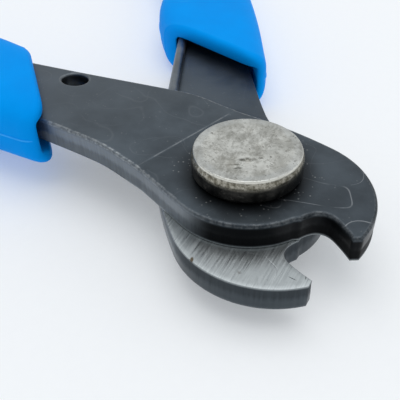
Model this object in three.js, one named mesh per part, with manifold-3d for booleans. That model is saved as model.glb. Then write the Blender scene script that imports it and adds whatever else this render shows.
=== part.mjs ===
// Compact bypass shears for hard wire: two blades of one blanked outline, turned face to face
// on a large riveted pivot, each with a moulded slip-on grip, and a hairpin wire return spring.
// Millimetres, +Z up. The origin is on the pivot axis, on the flat face of the rivet's lower head.
// +X runs along the jaws, and the handles run out towards -X, one on each side of the X axis.

import * as THREE from 'three';
import { mergeVertices } from 'three/addons/utils/BufferGeometryUtils.js';
import { ParametricGeometry } from 'three/addons/geometries/ParametricGeometry.js';
import Module from 'manifold-3d';

const wasm = await Module();
wasm.setup();

// ---------------------------------------------------------------- driving dimensions

// Blades
const bladeThickness = 2.8;
const bladeGap = 0.08;
const pivotHoleRadius = 3.26;
const headRadius = 8.25;
const noseRadius = 9.85;
const noseCentreX = 3.95;
const spineRadius = 52;
const tipAngle = THREE.MathUtils.degToRad(16.5);
const noseEnd = THREE.MathUtils.degToRad(103.5);
const headStart = THREE.MathUtils.degToRad(-84);
const headEnd = THREE.MathUtils.degToRad(-4);
const spineOverrun = THREE.MathUtils.degToRad(4.8);
const hollowMiddle = { x: -8.84, y: -9.27 };
const hollowEnd = { x: -5.4, y: -8.91 };

// Hooked mouth: it rises from the throat, turns in a round corner and runs out to the tip
const throatX = 8.5;
const tipInner = { x: 13.0, y: 2.1 };
const mouthRise = { bend: [8.4, 1.15], end: [8.8, 1.8] };
const mouthCorner = { bend: [9.25, 2.5], end: [10.25, 2.5] };
const mouthWallBend = [11.4, 2.45];

// Arms: each one steps away from its partner by armOffset, over a smooth ramp behind a crease
const armOffset = 0.65;
const rampLength = 6;
const rampSteps = 6;
const creaseFoot = { x: -6.67, y: -7.88 };
const creaseTurn = THREE.MathUtils.degToRad(13.4);
const headRelief = 0.1;

// Handle axis: straight out from beside the pivot, then a wide arc that brings the grips together
const handleAngle = THREE.MathUtils.degToRad(31);
const handleInset = 3.0;
const straightLength = 34;
const handleBendRadius = 180;
const tangEnd = 106;
const tangHalfWidth = 4.5;
const armHalfWidth = 5.5;
const armWidthStation = 24;
const armTaper = 0.083;
const armStart = 26;

// Oval hole beside the inner edge of the upper blade's arm
const ovalStation = 25.7;
const ovalFromEdge = 1.9;
const ovalHalfLength = 1.7;
const ovalHalfWidth = 1.35;

// Pivot rivet
const rivetShankRadius = 3.2;
const rivetHeadRadius = 5.5;
const rivetFaceRadius = 5.24;
const rivetUndercut = 0.4;
const lowerHeadHeight = 2.75;
const upperHeadHeight = 2.5;
const upperHeadGap = 0.04;

// Grips
const gripHalfThickness = 4.2;
const gripDrop = 0.7;
const gripStart = 11;
const gripEnd = 116;
const gripStartRounding = 3;
const gripEndRounding = 9;
const gripSquareness = 3.8;
const gripOuter = { wide: 7.5, slim: 6.4, from: 60, to: 108 };
const gripInner = { waist: 5.7, swell: 1.9, swellStation: 40.5, swellLength: 9, tail: 0.5 };
const mouthStation = 26.5;
const mouthTurn = THREE.MathUtils.degToRad(-13.5);
const mouthRounding = 7.5;
const mouthOverhang = 0.8;
const mouthLip = { size: 1.2, thickness: 1.6 };
const pocketClearance = 0.15;
const pocketSideClearance = 0.45;
const upperGripSlip = 2.0;
const lowerGripSlip = 3.4;

const slotHeight = 1.5;

// Return spring
const wireRadius = 0.65;
const wireFromEdge = 0.7;
const wireStartStation = 24;
const wireEndStation = 38;
const wireBendRadius = 1.5;

// Heights of the stack, from the flat face of the lower head upwards
const lowerBladeZ = lowerHeadHeight;
const upperBladeZ = lowerBladeZ + bladeThickness + bladeGap;
const upperHeadZ = upperBladeZ + bladeThickness + upperHeadGap;
const middleZ = lowerBladeZ + bladeThickness + bladeGap / 2;

// ---------------------------------------------------------------- materials

const darkSteel = new THREE.MeshStandardMaterial({ color: 0x4a5057, roughness: 0.45, metalness: 0.6 });
const brightSteel = new THREE.MeshStandardMaterial({ color: 0xb4b6ae, roughness: 0.35, metalness: 1.0 });
const wireSteel = new THREE.MeshStandardMaterial({ color: 0x5a6067, roughness: 0.4, metalness: 0.8 });
const blueVinyl = new THREE.MeshStandardMaterial({ color: 0x0573cf, roughness: 0.5, metalness: 0.0 });

// ---------------------------------------------------------------- solids

// A closed solid from any closed geometry: shared corners merged, collapsed triangles dropped.
function solidFrom(geometry) {
  const bare = geometry.clone();
  bare.deleteAttribute('normal');
  bare.deleteAttribute('uv');
  const merged = mergeVertices(bare, 1e-4);
  const index = merged.index.array;
  const triangles = [];
  for (let i = 0; i < index.length; i += 3) {
    const [a, b, c] = [index[i], index[i + 1], index[i + 2]];
    if (a !== b && b !== c && c !== a) triangles.push(a, b, c);
  }
  const vertProperties = new Float32Array(merged.attributes.position.array);
  const triVerts = new Uint32Array(triangles);
  return new wasm.Manifold(new wasm.Mesh({ numProp: 3, vertProperties, triVerts }));
}

function geometryFrom(solid) {
  const mesh = solid.getMesh();
  const geometry = new THREE.BufferGeometry();
  geometry.setAttribute('position', new THREE.BufferAttribute(mesh.vertProperties, 3));
  geometry.setIndex(new THREE.BufferAttribute(mesh.triVerts, 1));
  geometry.computeVertexNormals();
  return geometry;
}

// A flat outline raised between two heights.
function prism(shape, bottom, top, curveSegments = 12) {
  const geometry = new THREE.ExtrudeGeometry(shape, { depth: top - bottom, bevelEnabled: false, curveSegments });
  geometry.translate(0, 0, bottom);
  return geometry;
}

// ---------------------------------------------------------------- the handle's own coordinates

// A point beside the handle axis: station along it, and side away from it, outwards positive.
// It is written for the upper blade, whose handle runs out at the -Y side of the X axis.
function handlePoint(station, side) {
  const bend = Math.max(0, station - straightLength) / handleBendRadius;
  const straight = Math.min(station, straightLength);
  const startHeading = Math.PI + handleAngle;
  const heading = startHeading - bend;
  const startOut = startHeading + Math.PI / 2;
  const out = heading + Math.PI / 2;
  const x = straight * Math.cos(startHeading)
    - handleInset * Math.cos(startOut)
    + handleBendRadius * (Math.cos(out) - Math.cos(startOut))
    + side * Math.cos(out);
  const y = straight * Math.sin(startHeading)
    - handleInset * Math.sin(startOut)
    + handleBendRadius * (Math.sin(out) - Math.sin(startOut))
    + side * Math.sin(out);
  return new THREE.Vector2(x, y);
}

// Half the arm's width: it narrows evenly until it reaches the tang's width inside the grip.
function armHalfWidthAt(station) {
  return Math.max(tangHalfWidth, armHalfWidth - armTaper * (station - armWidthStation));
}

// ---------------------------------------------------------------- blades

// One blank, drawn as the upper blade: the handle at -X -Y, the hooked jaw at +X +Y.
function bladeOutline() {
  const shape = new THREE.Shape();
  const spineEnd = handleAngle + spineOverrun + Math.PI / 2;
  const spineCentreX = noseCentreX + (noseRadius - spineRadius) * Math.cos(noseEnd);
  const spineCentreY = (noseRadius - spineRadius) * Math.sin(noseEnd);

  // Round head as far as the throat, then the hooked mouth
  shape.absarc(0, 0, headRadius, headStart, headEnd, false);
  shape.lineTo(throatX, 0);
  shape.quadraticCurveTo(...mouthRise.bend, ...mouthRise.end);
  shape.quadraticCurveTo(...mouthCorner.bend, ...mouthCorner.end);
  shape.quadraticCurveTo(...mouthWallBend, tipInner.x, tipInner.y);
  // Nose and spine, both sides of the tang, and a gentle hollow back to the head
  shape.absarc(noseCentreX, 0, noseRadius, tipAngle, noseEnd, false);
  shape.absarc(spineCentreX, spineCentreY, spineRadius, noseEnd, spineEnd, false);
  traceTang(shape, 0, armStart);
  shape.quadraticCurveTo(hollowMiddle.x, hollowMiddle.y, hollowEnd.x, hollowEnd.y);
  shape.closePath();
  return shape;
}

// The long sides of the arm and tang, out along the inner side and back along the outer one,
// with a round end between them. clearance moves both sides outwards.
function traceTang(shape, clearance, firstStation) {
  const lastStation = tangEnd - tangHalfWidth;
  const sideSteps = 9;
  for (let i = 0; i <= sideSteps; i += 1) {
    const station = firstStation + (lastStation - firstStation) * i / sideSteps;
    const point = handlePoint(station, -armHalfWidthAt(station) - clearance);
    shape.lineTo(point.x, point.y);
  }
  const endSteps = 6;
  for (let i = 1; i < endSteps; i += 1) {
    const angle = Math.PI * i / endSteps;
    const reach = (tangHalfWidth + clearance) * Math.sin(angle);
    const side = -(tangHalfWidth + clearance) * Math.cos(angle);
    const point = handlePoint(lastStation + reach, side);
    shape.lineTo(point.x, point.y);
  }
  for (let i = sideSteps; i >= 0; i -= 1) {
    const station = firstStation + (lastStation - firstStation) * i / sideSteps;
    const point = handlePoint(station, armHalfWidthAt(station) + clearance);
    shape.lineTo(point.x, point.y);
  }
}

// The plate seen from its edge, across the crease: flat head, ramp, and the arm one step higher.
function sideProfile() {
  const reach = 200;
  const lower = [new THREE.Vector2(-reach, 0), new THREE.Vector2(0, 0)];
  for (let i = 1; i <= rampSteps; i += 1) {
    const along = i / rampSteps;
    const rise = armOffset * (1 - Math.cos(Math.PI * along)) / 2;
    lower.push(new THREE.Vector2(rampLength * along, rise));
  }
  lower.push(new THREE.Vector2(reach, armOffset));
  const upper = lower.map((point) => new THREE.Vector2(point.x, point.y + bladeThickness)).reverse();
  // The head's outer face is relieved a little, which leaves a fine step at the crease
  const head = upper.slice(0, -2);
  head.push(new THREE.Vector2(0, bladeThickness));
  head.push(new THREE.Vector2(0, bladeThickness - headRelief));
  head.push(new THREE.Vector2(-reach, bladeThickness - headRelief));
  return new THREE.Shape([...lower, ...head]);
}

function creasedPlate() {
  const width = 300;
  const geometry = new THREE.ExtrudeGeometry(sideProfile(), { depth: width, bevelEnabled: false });
  geometry.translate(0, 0, -width / 2);
  // Profile height becomes Z, and distance behind the crease points away from the jaws
  geometry.rotateX(Math.PI / 2);
  geometry.rotateZ(Math.PI + creaseTurn);
  geometry.translate(creaseFoot.x, creaseFoot.y, 0);
  return geometry;
}

// An outline cut right through the whole height of a blade.
function throughCut(shape, curveSegments) {
  return prism(shape, -bladeThickness, 3 * bladeThickness, curveSegments);
}

function ovalHole() {
  const side = -armHalfWidthAt(ovalStation) + ovalFromEdge;
  const centre = handlePoint(ovalStation, side);
  const shape = new THREE.Shape();
  shape.absellipse(centre.x, centre.y, ovalHalfLength, ovalHalfWidth, 0, 2 * Math.PI, false, handleAngle);
  return throughCut(shape, 8);
}

function pivotHole() {
  const shape = new THREE.Shape();
  shape.absarc(0, 0, pivotHoleRadius, 0, 2 * Math.PI, false);
  return throughCut(shape, 32);
}

function bladeSolid() {
  return solidFrom(throughCut(bladeOutline(), 16))
    .intersect(solidFrom(creasedPlate()))
    .subtract(solidFrom(pivotHole()));
}

// ---------------------------------------------------------------- grips

// Outer and inner sides of the grip: a finger swell behind the mouth and a slimmer tail.
function gripOuterAt(station) {
  const { wide, slim, from, to } = gripOuter;
  return wide - (wide - slim) * THREE.MathUtils.smoothstep(station, from, to);
}

function gripInnerAt(station) {
  const { waist, swell, swellStation, swellLength, tail } = gripInner;
  const bulge = Math.exp(-(((station - swellStation) / swellLength) ** 2));
  const tailEnd = gripEnd - gripEndRounding;
  const widening = THREE.MathUtils.smoothstep(station, tailEnd - 2 * gripEndRounding, tailEnd);
  return -(waist + swell * bulge + tail * widening);
}

// Cosine or sine bent towards a square section.
function squared(value) {
  return Math.sign(value) * Math.abs(value) ** (2 / gripSquareness);
}

// The grip's skin before its mouth is cut: a squared oval swept along the handle, round at its end.
// Heights are from the tang's middle plane. The skin lies gripDrop nearer to the partner grip.
// slip is how far this grip sits out along its tang.
function gripSkin(slip) {
  return (u, v, target) => {
    const station = gripStart + (gripEnd - gripStart) * u;
    const fromEnd = (station - (gripEnd - gripEndRounding)) / gripEndRounding;
    const fromStart = 1 - (station - gripStart) / gripStartRounding;
    const rounding = Math.max(0, Math.min(1, Math.max(fromEnd, fromStart)));
    const size = Math.sqrt(Math.max(0, 1 - rounding ** 2));
    const outer = gripOuterAt(station);
    const inner = gripInnerAt(station);
    const angle = -2 * Math.PI * (v % 1);
    const side = (outer + inner) / 2 + size * squared(Math.cos(angle)) * (outer - inner) / 2;
    const point = handlePoint(station + slip, side);
    target.set(point.x, point.y, size * squared(Math.sin(angle)) * gripHalfThickness - gripDrop);
  };
}

// The room that the mouth leaves to the grip: cut on the slant across the arm, with its pointed
// outer corner rounded off and a soft lip above and below.
function mouthEnvelope(slip) {
  const along = new THREE.Vector2(Math.cos(mouthTurn), Math.sin(mouthTurn));
  const out = new THREE.Vector2(-Math.cos(handleAngle), -Math.sin(handleAngle));
  const middle = handlePoint(mouthStation + slip, 0);
  const outerSide = gripOuterAt(mouthStation) + mouthOverhang;
  const toCorner = outerSide / Math.sin(handleAngle - mouthTurn);
  const corner = middle.clone().addScaledVector(along, toCorner);
  const reach = 150;
  const innerFar = middle.clone().addScaledVector(along, -reach);
  const beforeCorner = corner.clone().addScaledVector(along, -mouthRounding);
  const afterCorner = corner.clone().addScaledVector(out, mouthRounding);
  const outerFar = corner.clone().addScaledVector(out, reach);
  const shape = new THREE.Shape();
  shape.moveTo(innerFar.x, innerFar.y);
  shape.lineTo(outerFar.x, outerFar.y);
  shape.lineTo(afterCorner.x, afterCorner.y);
  shape.quadraticCurveTo(corner.x, corner.y, beforeCorner.x, beforeCorner.y);
  shape.closePath();
  const straight = 2 * (gripHalfThickness - mouthLip.thickness);
  const geometry = new THREE.ExtrudeGeometry(shape, {
    depth: straight,
    curveSegments: 8,
    bevelEnabled: true,
    bevelSegments: 3,
    bevelSize: mouthLip.size,
    bevelOffset: -mouthLip.size,
    bevelThickness: mouthLip.thickness,
  });
  geometry.translate(0, 0, -straight / 2 - gripDrop);
  return geometry;
}

// A band along the arm from ahead of the mouth to the given station.
function armBand(end, bottom, top) {
  const shape = new THREE.Shape();
  const stations = [gripStart, armWidthStation, (armWidthStation + end) / 2, end];
  for (const station of stations) {
    const point = handlePoint(station, -armHalfWidthAt(station) - pocketSideClearance);
    if (station === gripStart) shape.moveTo(point.x, point.y);
    else shape.lineTo(point.x, point.y);
  }
  for (const station of stations.toReversed()) {
    const point = handlePoint(station, armHalfWidthAt(station) + pocketSideClearance);
    shape.lineTo(point.x, point.y);
  }
  shape.closePath();
  return prism(shape, bottom, top);
}

// The pocket that takes the tang
function tangPocket() {
  const shape = new THREE.Shape();
  const start = handlePoint(gripStart, armHalfWidthAt(gripStart) + pocketSideClearance);
  shape.moveTo(start.x, start.y);
  traceTang(shape, pocketSideClearance, gripStart);
  shape.closePath();
  const half = bladeThickness / 2 + pocketClearance;
  return prism(shape, -half, half);
}

// The shallow slot beside the tang, on the side facing the partner, that takes the spring's leg
function springSlot() {
  return armBand(wireEndStation + 1, -bladeThickness / 2 - slotHeight, 0);
}

function gripSolid(slip) {
  return solidFrom(new ParametricGeometry(gripSkin(slip), 54, 32))
    .intersect(solidFrom(mouthEnvelope(slip)))
    .subtract(solidFrom(tangPocket()))
    .subtract(solidFrom(springSlot()));
}

// ---------------------------------------------------------------- return spring

// The spring's leg runs along the inner edge of an arm, on the side facing the partner blade.
function legPoint(station) {
  return handlePoint(station, -armHalfWidthAt(station) + wireFromEdge);
}

function wireSection(radius, sides) {
  const section = new THREE.Shape();
  for (let i = 0; i < sides; i += 1) {
    const angle = 2 * Math.PI * i / sides;
    if (i === 0) section.moveTo(radius, 0);
    else section.lineTo(radius * Math.cos(angle), radius * Math.sin(angle));
  }
  section.closePath();
  return section;
}

// Both legs and the round bend between them, as one planar hairpin symmetric about the X axis.
class HairpinPath extends THREE.CurvePath {
  constructor() {
    super();
    const far = legPoint(wireEndStation);
    const near = legPoint(wireStartStation);
    const slope = (near.y - far.y) / (near.x - far.x);
    const halfAngle = Math.atan(slope);
    const vertexX = near.x - near.y / slope;
    const tangentLength = wireBendRadius / Math.tan(halfAngle);
    const startX = vertexX - tangentLength * Math.cos(halfAngle);
    const startY = -tangentLength * Math.sin(halfAngle);
    const centreX = vertexX - wireBendRadius / Math.sin(halfAngle);
    this.add(new THREE.LineCurve3(new THREE.Vector3(far.x, far.y, 0), new THREE.Vector3(startX, startY, 0)));
    const turn = Math.PI / 2 - halfAngle;
    const steps = 8;
    let last = new THREE.Vector3(startX, startY, 0);
    for (let i = 1; i <= steps; i += 1) {
      const angle = -turn + 2 * turn * i / steps;
      const next = new THREE.Vector3(
        centreX + wireBendRadius * Math.cos(angle),
        wireBendRadius * Math.sin(angle),
        0);
      this.add(new THREE.LineCurve3(last, next));
      last = next;
    }
    this.add(new THREE.LineCurve3(last, new THREE.Vector3(far.x, -far.y, 0)));
  }
}

function springGeometry() {
  const options = { steps: 110, extrudePath: new HairpinPath() };
  return new THREE.ExtrudeGeometry(wireSection(wireRadius, 10), options);
}

// ---------------------------------------------------------------- rivet

function rivetGeometry() {
  const top = upperHeadZ + upperHeadHeight;
  const edge = rivetHeadRadius - rivetFaceRadius;
  const profile = [
    [0, 0],
    [rivetHeadRadius - 0.5, 0],
    [rivetHeadRadius, 0.5],
    [rivetHeadRadius, lowerHeadHeight],
    [rivetShankRadius, lowerHeadHeight],
    [rivetShankRadius, upperHeadZ],
    [rivetHeadRadius - rivetUndercut, upperHeadZ],
    [rivetHeadRadius, upperHeadZ + rivetUndercut],
    [rivetHeadRadius, top - 2.5 * edge],
    [rivetFaceRadius, top],
    [0, top],
  ].map(([radius, height]) => new THREE.Vector2(radius, height));
  const geometry = new THREE.LatheGeometry(profile, 64);
  geometry.rotateX(Math.PI / 2);
  return geometry;
}

// ---------------------------------------------------------------- assembly

function namedMesh(name, geometry, material) {
  const mesh = new THREE.Mesh(geometry, material);
  mesh.name = name;
  return mesh;
}

const blade = bladeSolid();
const bladeWithHole = blade.subtract(solidFrom(ovalHole()));
const armMiddle = armOffset + bladeThickness / 2;

// The upper half is the blank as drawn, and the lower half is the same half rolled over about X.
const upperHalf = new THREE.Group();
upperHalf.position.z = upperBladeZ;
const upperGrip = namedMesh('upper_grip', geometryFrom(gripSolid(upperGripSlip)), blueVinyl);
upperGrip.position.z = armMiddle;
upperHalf.add(namedMesh('upper_blade', geometryFrom(bladeWithHole), darkSteel), upperGrip);

const lowerHalf = new THREE.Group();
lowerHalf.position.z = lowerBladeZ + bladeThickness;
lowerHalf.rotation.x = Math.PI;
const lowerGrip = namedMesh('lower_grip', geometryFrom(gripSolid(lowerGripSlip)), blueVinyl);
lowerGrip.position.z = armMiddle;
lowerHalf.add(namedMesh('lower_blade', geometryFrom(blade), darkSteel), lowerGrip);

const rivet = namedMesh('pivot_rivet', geometryFrom(solidFrom(rivetGeometry())), brightSteel);
const spring = namedMesh('return_spring', geometryFrom(solidFrom(springGeometry())), wireSteel);
spring.position.z = middleZ;

const shears = new THREE.Group();
shears.add(upperHalf, lowerHalf, rivet, spring);

export default shears;
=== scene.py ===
"""Finished look of a pair of bypass hard-wire shears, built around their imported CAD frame.

Lengths in the shape functions are in millimetres. A mesh is written in metres, in the CAD's frame:
the pivot stands on the origin along +Z, the jaws lie towards +X and the handles towards -X.
"""

import math

import bpy
import numpy as np
from mathutils import Matrix, Vector, noise
from mathutils.geometry import delaunay_2d_cdt


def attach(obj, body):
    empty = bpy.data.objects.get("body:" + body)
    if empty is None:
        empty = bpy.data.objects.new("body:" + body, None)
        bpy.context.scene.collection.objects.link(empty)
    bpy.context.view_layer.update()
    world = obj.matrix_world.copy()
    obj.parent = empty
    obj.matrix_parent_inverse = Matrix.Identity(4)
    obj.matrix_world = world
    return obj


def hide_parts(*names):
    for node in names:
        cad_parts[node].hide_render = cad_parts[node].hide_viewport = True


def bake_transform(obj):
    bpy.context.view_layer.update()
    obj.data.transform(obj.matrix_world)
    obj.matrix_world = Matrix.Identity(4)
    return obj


bl_info = {
    "name": "Bypass Hard-Wire Shears",
    "version": (1, 0, 0),
    "blender": (4, 5, 0),
    "location": "View3D > Sidebar > Shears",
    "description": "Builds the blades, rivet, return spring, grips and stage of bypass hard-wire shears",
    "category": "Object",
}

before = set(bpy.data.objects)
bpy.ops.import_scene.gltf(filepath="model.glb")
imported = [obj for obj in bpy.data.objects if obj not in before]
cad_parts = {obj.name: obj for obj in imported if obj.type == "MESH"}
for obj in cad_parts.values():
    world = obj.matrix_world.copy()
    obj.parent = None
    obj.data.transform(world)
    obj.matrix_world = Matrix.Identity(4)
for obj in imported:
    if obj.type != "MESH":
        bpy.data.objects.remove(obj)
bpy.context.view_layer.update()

MM = 0.001
UPPER, LOWER = "upper_half", "lower_half"

# Stack heights and plate, in millimetres
BLADE_THICKNESS = 2.8
LOWER_HEAD_HEIGHT = 2.75
BLADE_GAP = 0.08
UPPER_HEAD_GAP = 0.04
LOWER_BLADE_TOP = LOWER_HEAD_HEIGHT + BLADE_THICKNESS
UPPER_BLADE_Z = LOWER_BLADE_TOP + BLADE_GAP
MIDDLE_Z = LOWER_BLADE_TOP + BLADE_GAP / 2
UPPER_HEAD_Z = UPPER_BLADE_Z + BLADE_THICKNESS + UPPER_HEAD_GAP
UPPER_HEAD_HEIGHT = 2.5
UPPER_HEAD_TOP = UPPER_HEAD_Z + UPPER_HEAD_HEIGHT
ARM_OFFSET = 0.65
ARM_MIDDLE = ARM_OFFSET + BLADE_THICKNESS / 2

# Handle axis
HANDLE_ANGLE = math.radians(31)
HANDLE_INSET = 3.0
STRAIGHT_LENGTH = 34.0
HANDLE_BEND_RADIUS = 180.0
TANG_END = 106.0
TANG_HALF_WIDTH = 4.5
ARM_HALF_WIDTH = 5.5
ARM_WIDTH_STATION = 24.0
ARM_TAPER = 0.083
ARM_START = 26.0

# Crease across the blade, behind the round head
CREASE_FOOT = (-6.67, -7.88)
CREASE_TURN = math.radians(13.4)
CREASE_RAMP = 6.0
HEAD_RELIEF = 0.1

# Outline of the blank: the head, then the mouth, the nose, the spine and the hollow behind the head
PIVOT = (0.0, 0.0)
HEAD_RADIUS = 8.25
HEAD_START = math.radians(-84)
HEAD_END = math.radians(-4)
THROAT = (8.5, 0.0)
HEEL_CONTROL = (8.4, 1.15)
HEEL = (8.8, 1.8)
ROOF_CONTROL = (9.25, 2.5)
ROOF = (10.25, 2.5)
TIP_CONTROL = (11.4, 2.45)
TIP_INNER = (13.0, 2.1)
TIP_ANGLE = math.radians(16.5)
NOSE_CENTRE = (3.95, 0.0)
NOSE_RADIUS = 9.85
NOSE_END = math.radians(103.5)
SPINE_RADIUS = 52.0
SPINE_OVERRUN = math.radians(4.8)
HOLLOW_CONTROL = (-8.84, -9.27)
HOLLOW_END = (-5.4, -8.91)

# Holes in the blades
PIVOT_HOLE_RADIUS = 3.26
HOLE_STATION = 25.7
HOLE_FROM_EDGE = 1.9
HOLE_HALF_LENGTH = 1.7
HOLE_HALF_WIDTH = 1.35

# Sheared wall: how far its torn part is set back, how rough it is, and the mouth's share of bare metal
TORN_SETBACK = 0.035
TORN_ROUGHNESS = 0.03
MOUTH_BARE = 0.14

# Faces of the blade meshes: steps round an edge, along an arm and round a tang's end, then the
# flat faces' spacing, their lines beside an edge and their rows along the crease
ROUND_STEPS = 4
ARM_STEPS = 130
TANG_STEPS = 24
FLAT_SPACING = 1.3
EDGE_LINES = (0.55, 1.1)
EDGE_CLEARANCE = 1.45
CREASE_ROWS = (-0.5, -0.14, -0.05, 0.05, 0.14, 0.5, 2, 3, 4, 5, 6.2)
CREASE_ROW_SPACING = 0.6
CREASE_CLEARANCE = (-0.9, 6.5)

# Rivet
SHANK_RADIUS = 3.2
RIVET_HEAD_RADIUS = 5.5
RIVET_FACE_RINGS = (5.0, 4.8, 4.5, 4.1, 3.7, 3.3, 2.9, 2.5, 2.1, 1.7, 1.3, 0.9, 0.5, 0.2)
RIVET_WAVES = 0.022
DENT_CENTRE = (1.7, -1.2)
DENT_SIZE = (0.55, 0.33)
DENT_DEPTH = 0.03

# Return spring: its distance in from the arms' inner edges, and where its legs begin and end
SPRING_INSET = 0.7
SPRING_FIRST_STATION = 24.0
SPRING_LAST_STATION = 38.0
SPRING_LEG_STEPS = 40

# Grips
GRIP_END = 116.0
GRIP_END_ROUNDING = 9.0
GRIP_DROP = 0.7
GRIP_OUTER = 7.5
GRIP_OUTER_TAPER = 1.1
GRIP_INNER = 5.7
GRIP_SWELL = 1.9
GRIP_SWELL_STATION = 40.5
GRIP_SWELL_LENGTH = 9
GRIP_FLARE = 0.5
MOUTH_STATION = 26.5
MOUTH_TURN = math.radians(-13.5)
MOUTH_LIP = 1.1
MOUTH_CORNER_WIDTH = 4.6
MOUTH_CORNER_SETBACK = 5.6
POCKET_SQUARENESS = 9
POCKET_SIDE_ROOM = 0.45
POCKET_MOUTH_ROOM = 0.35
POCKET_HEIGHT_ROOM = 0.15
POCKET_SPRING_ROOM = 1.35
POCKET_STATIONS = (37, 38.8, 39.2, 39.6, 40, 50, 60, 70, 80, 90, 100, TANG_END - 2)
GRIP_SLIP = {UPPER: 2.0, LOWER: 3.4}

# Camera: its place in millimetres, and the directions to its right and upwards
CAMERA_PLACE = (38.327, -27.931, 44.281)
CAMERA_RIGHT = (0.51991, 0.85399, -0.01989)
CAMERA_UP = (-0.54188, 0.34772, 0.76516)
CAMERA_SENSOR = 36.0

# Lights: name, place and width in metres, and share of the softbox power
SOFTBOXES = (
    ("Overhead Softbox", (-0.06, 0.04, 0.97), 0.95, 1.0),
    ("Side Softbox", (0.30, 0.75, 0.45), 0.5, 0.12),
)


# ---------------------------------------------------------------- shape functions


def handle_point(station, side):
    """Point beside the upper blade's handle axis: station along it, side outwards from it."""
    bend = max(0.0, station - STRAIGHT_LENGTH) / HANDLE_BEND_RADIUS
    straight = min(station, STRAIGHT_LENGTH)
    start = math.pi + HANDLE_ANGLE
    start_out = start + math.pi / 2
    out = start_out - bend
    radius = HANDLE_BEND_RADIUS
    return (
        straight * math.cos(start)
        - HANDLE_INSET * math.cos(start_out)
        + radius * (math.cos(out) - math.cos(start_out))
        + side * math.cos(out),
        straight * math.sin(start)
        - HANDLE_INSET * math.sin(start_out)
        + radius * (math.sin(out) - math.sin(start_out))
        + side * math.sin(out),
    )


def arm_half_width(station):
    return max(TANG_HALF_WIDTH, ARM_HALF_WIDTH - ARM_TAPER * (station - ARM_WIDTH_STATION))


def smoothstep(value, low, high):
    t = min(1.0, max(0.0, (value - low) / (high - low)))
    return t * t * (3 - 2 * t)


def on_circle(centre, radius, angle):
    return (centre[0] + radius * math.cos(angle), centre[1] + radius * math.sin(angle))


def arc_points(centre, radius, start, end, spacing=0.35):
    count = max(2, round(abs(end - start) * radius / spacing))
    angles = [start + (end - start) * i / count for i in range(count)]
    return [on_circle(centre, radius, a) for a in angles]


def line_points(start, end, spacing=0.45):
    count = max(1, round(math.dist(start, end) / spacing))
    return [
        (start[0] + (end[0] - start[0]) * i / count, start[1] + (end[1] - start[1]) * i / count)
        for i in range(count)
    ]


def bend_points(start, control, end, count=10):
    """Points of a curve that leaves start and reaches end with its tangents through control."""
    points = []
    for i in range(count):
        t = i / count
        a, b, c = (1 - t) ** 2, 2 * t * (1 - t), t * t
        points.append(tuple(a * s + b * m + c * e for s, m, e in zip(start, control, end)))
    return points


def placed(half, x, y, z):
    """From a blade's own height above its inner face to the model's frame, in metres.
    The lower half is the upper half rolled over about the X axis."""
    if half == UPPER:
        return (x * MM, y * MM, (UPPER_BLADE_Z + z) * MM)
    return (x * MM, -y * MM, (LOWER_BLADE_TOP - z) * MM)


def smooth_mesh(name, verts, faces):
    mesh = bpy.data.meshes.new(name)
    mesh.from_pydata(verts, [], faces)
    mesh.update()
    mesh.polygons.foreach_set("use_smooth", [True] * len(mesh.polygons))
    return mesh


def turned_mesh(name, verts, around):
    """A mesh from closed rows of around points each, capped at its first and last row."""
    rows = len(verts) // around
    faces = []
    for row in range(rows - 1):
        for i in range(around):
            a, b = row * around + i, row * around + (i + 1) % around
            faces.append((a, b, b + around, a + around))
    last = (rows - 1) * around
    faces.append(tuple(range(around - 1, -1, -1)))
    faces.append(tuple(range(last, last + around)))
    return smooth_mesh(name, verts, faces)


# ---------------------------------------------------------------- blades


def blade_outline():
    """The blank's edge, anticlockwise, drawn as the upper blade."""
    points = arc_points(PIVOT, HEAD_RADIUS, HEAD_START, HEAD_END)
    points += line_points(on_circle(PIVOT, HEAD_RADIUS, HEAD_END), THROAT, 0.3)
    points += bend_points(THROAT, HEEL_CONTROL, HEEL, 7)
    points += bend_points(HEEL, ROOF_CONTROL, ROOF, 7)
    points += bend_points(ROOF, TIP_CONTROL, TIP_INNER, 9)
    points += line_points(TIP_INNER, on_circle(NOSE_CENTRE, NOSE_RADIUS, TIP_ANGLE), 0.25)
    points += arc_points(NOSE_CENTRE, NOSE_RADIUS, TIP_ANGLE, NOSE_END)
    spine_centre = on_circle(NOSE_CENTRE, NOSE_RADIUS - SPINE_RADIUS, NOSE_END)
    spine_end = HANDLE_ANGLE + SPINE_OVERRUN + math.pi / 2
    points += arc_points(spine_centre, SPINE_RADIUS, NOSE_END, spine_end)
    arm_first = handle_point(ARM_START, -arm_half_width(ARM_START))
    points += line_points(on_circle(spine_centre, SPINE_RADIUS, spine_end), arm_first)
    last = TANG_END - TANG_HALF_WIDTH
    stations = [ARM_START + (last - ARM_START) * i / ARM_STEPS for i in range(ARM_STEPS + 1)]
    points += [handle_point(s, -arm_half_width(s)) for s in stations]
    for i in range(1, TANG_STEPS):
        angle = math.pi * i / TANG_STEPS
        reach, side = TANG_HALF_WIDTH * math.sin(angle), -TANG_HALF_WIDTH * math.cos(angle)
        points.append(handle_point(last + reach, side))
    points += [handle_point(s, arm_half_width(s)) for s in reversed(stations)]
    arm_last = points.pop()
    points += bend_points(arm_last, HOLLOW_CONTROL, HOLLOW_END, 24)
    points += line_points(HOLLOW_END, on_circle(PIVOT, HEAD_RADIUS, HEAD_START))
    return np.array(points)


def hole_centre():
    return handle_point(HOLE_STATION, HOLE_FROM_EDGE - arm_half_width(HOLE_STATION))


def hole_outline(centre, length, width, turn, count):
    """A hole's edge, clockwise, so that its left side is the blade's material."""
    angles = -np.arange(count) * 2 * math.pi / count
    x, y = length * np.cos(angles), width * np.sin(angles)
    c, s = math.cos(turn), math.sin(turn)
    return np.stack([centre[0] + c * x - s * y, centre[1] + s * x + c * y], 1)


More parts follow.
